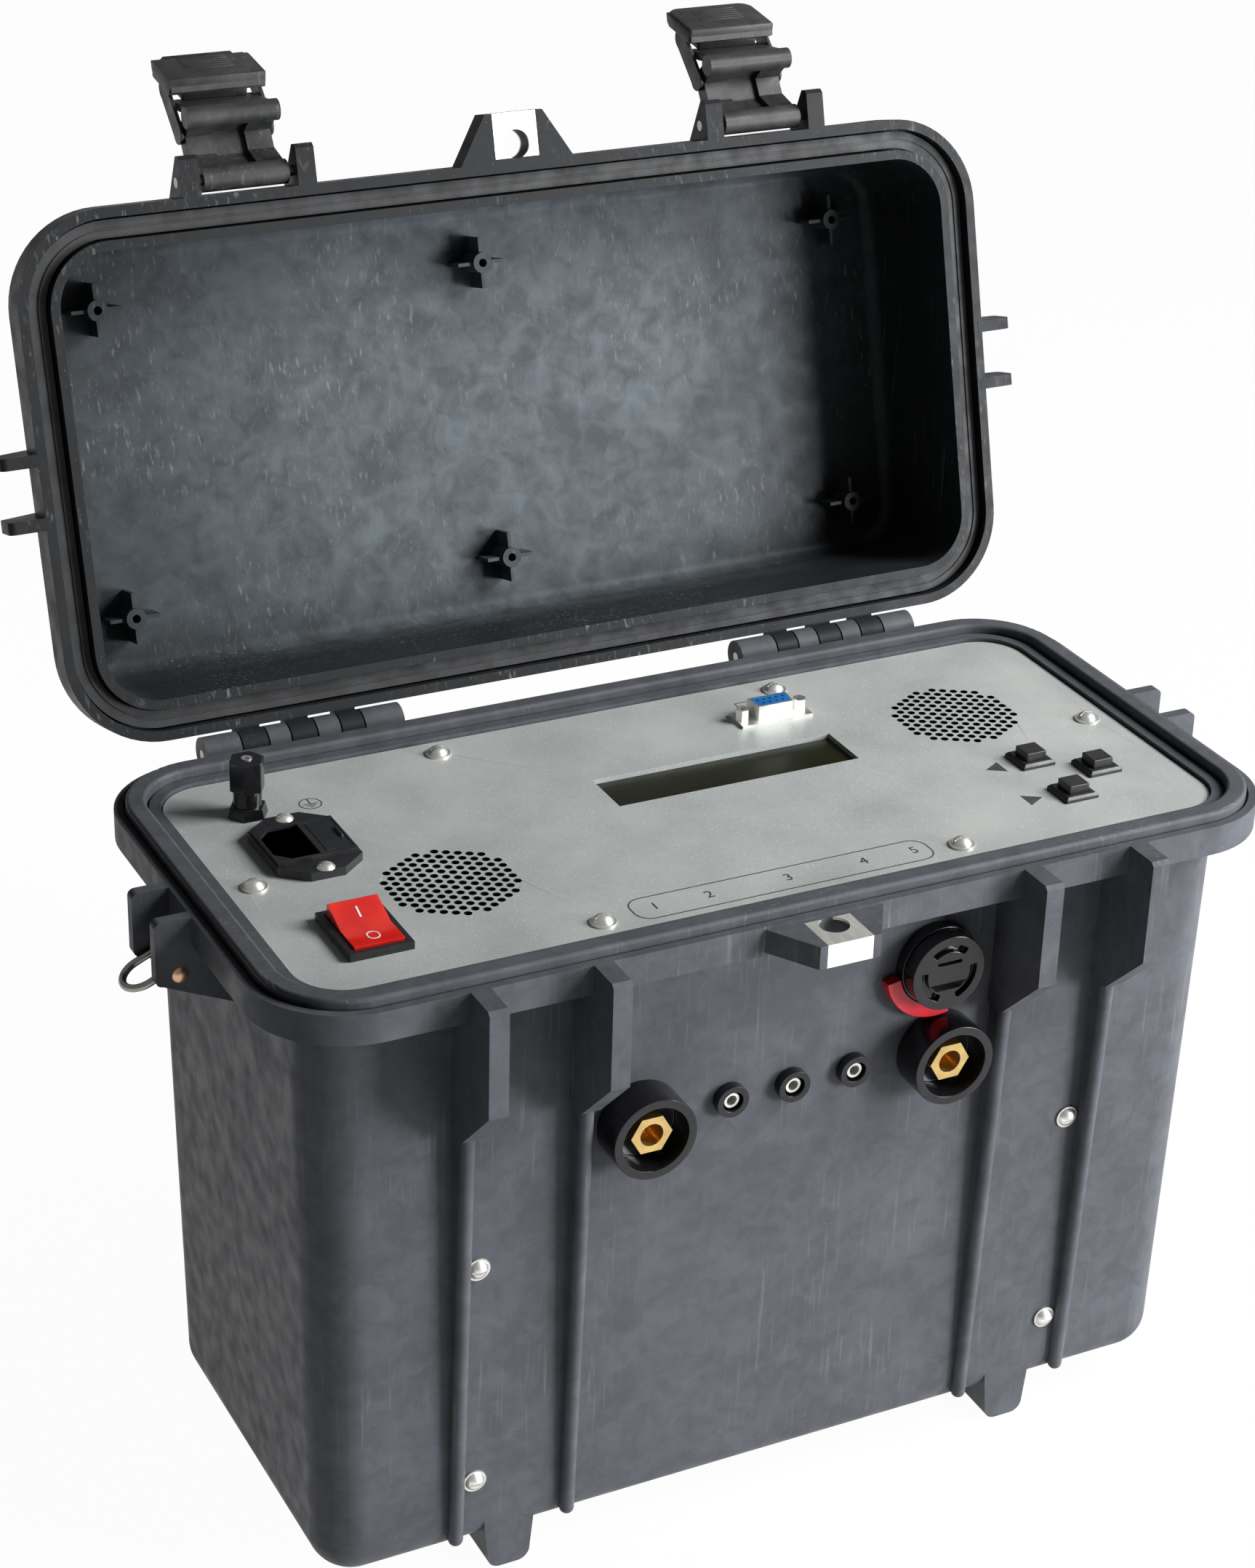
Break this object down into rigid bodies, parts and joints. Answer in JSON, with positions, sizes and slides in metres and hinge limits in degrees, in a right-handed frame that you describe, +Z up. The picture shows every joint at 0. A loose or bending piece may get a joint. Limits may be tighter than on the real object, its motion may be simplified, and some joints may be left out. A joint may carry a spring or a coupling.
{
  "type": "micro ohmmeter",
  "caption": "Portable low resistance meter in a hard carrying case with a hinged lid, metal front panel and wall mounted test terminals",
  "frame": {"origin": "middle of the open instrument's outline, on the surface that its feet stand on", "axes": "+Z up, +Y from the terminal wall towards the hinge, +X to the right as the user faces the terminals"},
  "size_m": [0.4442, 0.333, 0.493],
  "materials": {
    "case_plastic": "moulded polypropylene, fine spark texture",
    "button_plastic": "soft matt cap",
    "seal_rubber": "matt foam rubber",
    "panel_metal": "bead blasted sheet",
    "steel": "bright zinc plate",
    "copper": "bare copper",
    "brass": "turned and polished",
    "valve_red": "smooth rubber ring",
    "rocker_red": "clear red plastic, lit from inside",
    "connector_blue": "smooth",
    "window_glass": "dark clear window",
    "board": "solder mask",
    "capacitor": "shrunk sleeve",
    "sink_aluminium": "extruded"
  },
  "bodies": {
    "case": {"tub": "case_plastic", "hinge_pins": "steel", "hasp_clip_base": "steel", "ring_pins": "copper", "valve_body": "case_plastic", "valve_ring": "valve_red", "panel": "panel_metal", "panel_screws": "steel", "panel_washers": "steel", "inlet_body": "case_plastic", "inlet_blades": "steel", "inlet_screws": "steel", "rocker_bezel": "case_plastic", "ground_post_stud": "steel", "ground_post_base": "case_plastic", "data_shell": "steel", "data_insert": "connector_blue", "data_screws": "steel", "display_module": "board", "display_window": "window_glass", "button_bases": "case_plastic", "fan_frame_left": "case_plastic", "fan_frame_right": "case_plastic", "chassis": "steel", "control_board": "board", "transformer": "copper", "transformer_clamp": "steel", "supply_board": "board", "capacitors": "capacitor", "heat_sink": "sink_aluminium", "terminal_cups": "case_plastic", "terminal_nuts": "brass", "signal_sockets": "case_plastic", "signal_sleeves": "brass", "front_screws": "steel", "front_washers": "steel", "busbars": "copper"},
    "lid": {"lid": "case_plastic", "lid_seal": "seal_rubber", "hasp_clip_lid": "steel", "latch_pins": "steel", "handle_pins": "steel"},
    "claw_left": {"latch_claw_left": "case_plastic"},
    "claw_right": {"latch_claw_right": "case_plastic"},
    "lever_left": {"latch_lever_left": "case_plastic"},
    "lever_right": {"latch_lever_right": "case_plastic"},
    "ring_left": {"strap_ring_left": "steel"},
    "ring_right": {"strap_ring_right": "steel"},
    "handle": {"carry_handle": "case_plastic"},
    "rocker": {"rocker": "rocker_red"},
    "button_up": {"button_up": "button_plastic"},
    "button_down": {"button_down": "button_plastic"},
    "button_start": {"button_start": "button_plastic"},
    "ground_knob": {"ground_knob": "case_plastic"},
    "fuse_drawer": {"fuse_drawer": "case_plastic"},
    "valve_knob": {"valve_knob": "case_plastic"},
    "fan_left": {"fan_rotor_left": "case_plastic"},
    "fan_right": {"fan_rotor_right": "case_plastic"}
  },
  "joints": [
    {"name": "lid_hinge", "type": "hinge", "parent": "case", "child": "lid", "pos_m": [0, 0.05626, 0.2599], "axis": [1, 0, 0], "range_deg": [0, 105.2]},
    {"name": "claw_left_turn", "type": "hinge", "parent": "lid", "child": "claw_left", "pos_m": [-0.1076, 0.11957, 0.46011], "axis": [1, 0, 0], "range_deg": [0, 117.4]},
    {"name": "lever_left_turn", "type": "hinge", "parent": "claw_left", "child": "lever_left", "pos_m": [-0.1076, 0.13898, 0.47245], "axis": [1, 0, 0], "range_deg": [0, 20]},
    {"name": "claw_right_turn", "type": "hinge", "parent": "lid", "child": "claw_right", "pos_m": [0.1076, 0.11957, 0.46011], "axis": [1, 0, 0], "range_deg": [0, 117.4]},
    {"name": "lever_right_turn", "type": "hinge", "parent": "claw_right", "child": "lever_right", "pos_m": [0.1076, 0.13898, 0.47245], "axis": [1, 0, 0], "range_deg": [0, 20]},
    {"name": "ring_left_swing", "type": "hinge", "parent": "case", "child": "ring_left", "pos_m": [-0.2047, -0.04954, 0.2404], "axis": [0, -1, 0], "range_deg": [-60, 65]},
    {"name": "ring_right_swing", "type": "hinge", "parent": "case", "child": "ring_right", "pos_m": [0.2047, -0.04954, 0.2404], "axis": [0, 1, 0], "range_deg": [-60, 65]},
    {"name": "handle_fold", "type": "hinge", "parent": "lid", "child": "handle", "pos_m": [0, 0.15165, 0.34362], "axis": [-1, 0, 0], "range_deg": [0, 90]},
    {"name": "rocker_tip", "type": "hinge", "parent": "case", "child": "rocker", "pos_m": [-0.1498, -0.09554, 0.2595], "axis": [-1, 0, 0], "range_deg": [0, 20]},
    {"name": "button_up_press", "type": "slide", "parent": "case", "child": "button_up", "axis": [0, 0, -1], "range_m": [0, 0.0008], "stiffness_N_per_m": 1500},
    {"name": "button_down_press", "type": "slide", "parent": "case", "child": "button_down", "axis": [0, 0, -1], "range_m": [0, 0.0008], "stiffness_N_per_m": 1500},
    {"name": "button_start_press", "type": "slide", "parent": "case", "child": "button_start", "axis": [0, 0, -1], "range_m": [0, 0.0008], "stiffness_N_per_m": 1500},
    {"name": "ground_knob_turn", "type": "hinge", "parent": "case", "child": "ground_knob", "pos_m": [-0.1545, 0.00366, 0.2765], "axis": [0, 0, 1], "range_deg": [0, 180]},
    {"name": "fuse_drawer_pull", "type": "slide", "parent": "case", "child": "fuse_drawer", "axis": [0, 0, 1], "range_m": [0, 0.012]},
    {"name": "valve_knob_turn", "type": "hinge", "parent": "case", "child": "valve_knob", "pos_m": [0.056, -0.1373, 0.2229], "axis": [0, -0.9998, -0.019], "range_deg": [0, 90]},
    {"name": "fan_left_spin", "type": "hinge", "parent": "case", "child": "fan_left", "pos_m": [-0.108, -0.07284, 0.2505], "axis": [0, 0, 1], "continuous": true},
    {"name": "fan_right_spin", "type": "hinge", "parent": "case", "child": "fan_right", "pos_m": [0.1263, -0.02594, 0.2505], "axis": [0, 0, 1], "continuous": true}
  ]
}
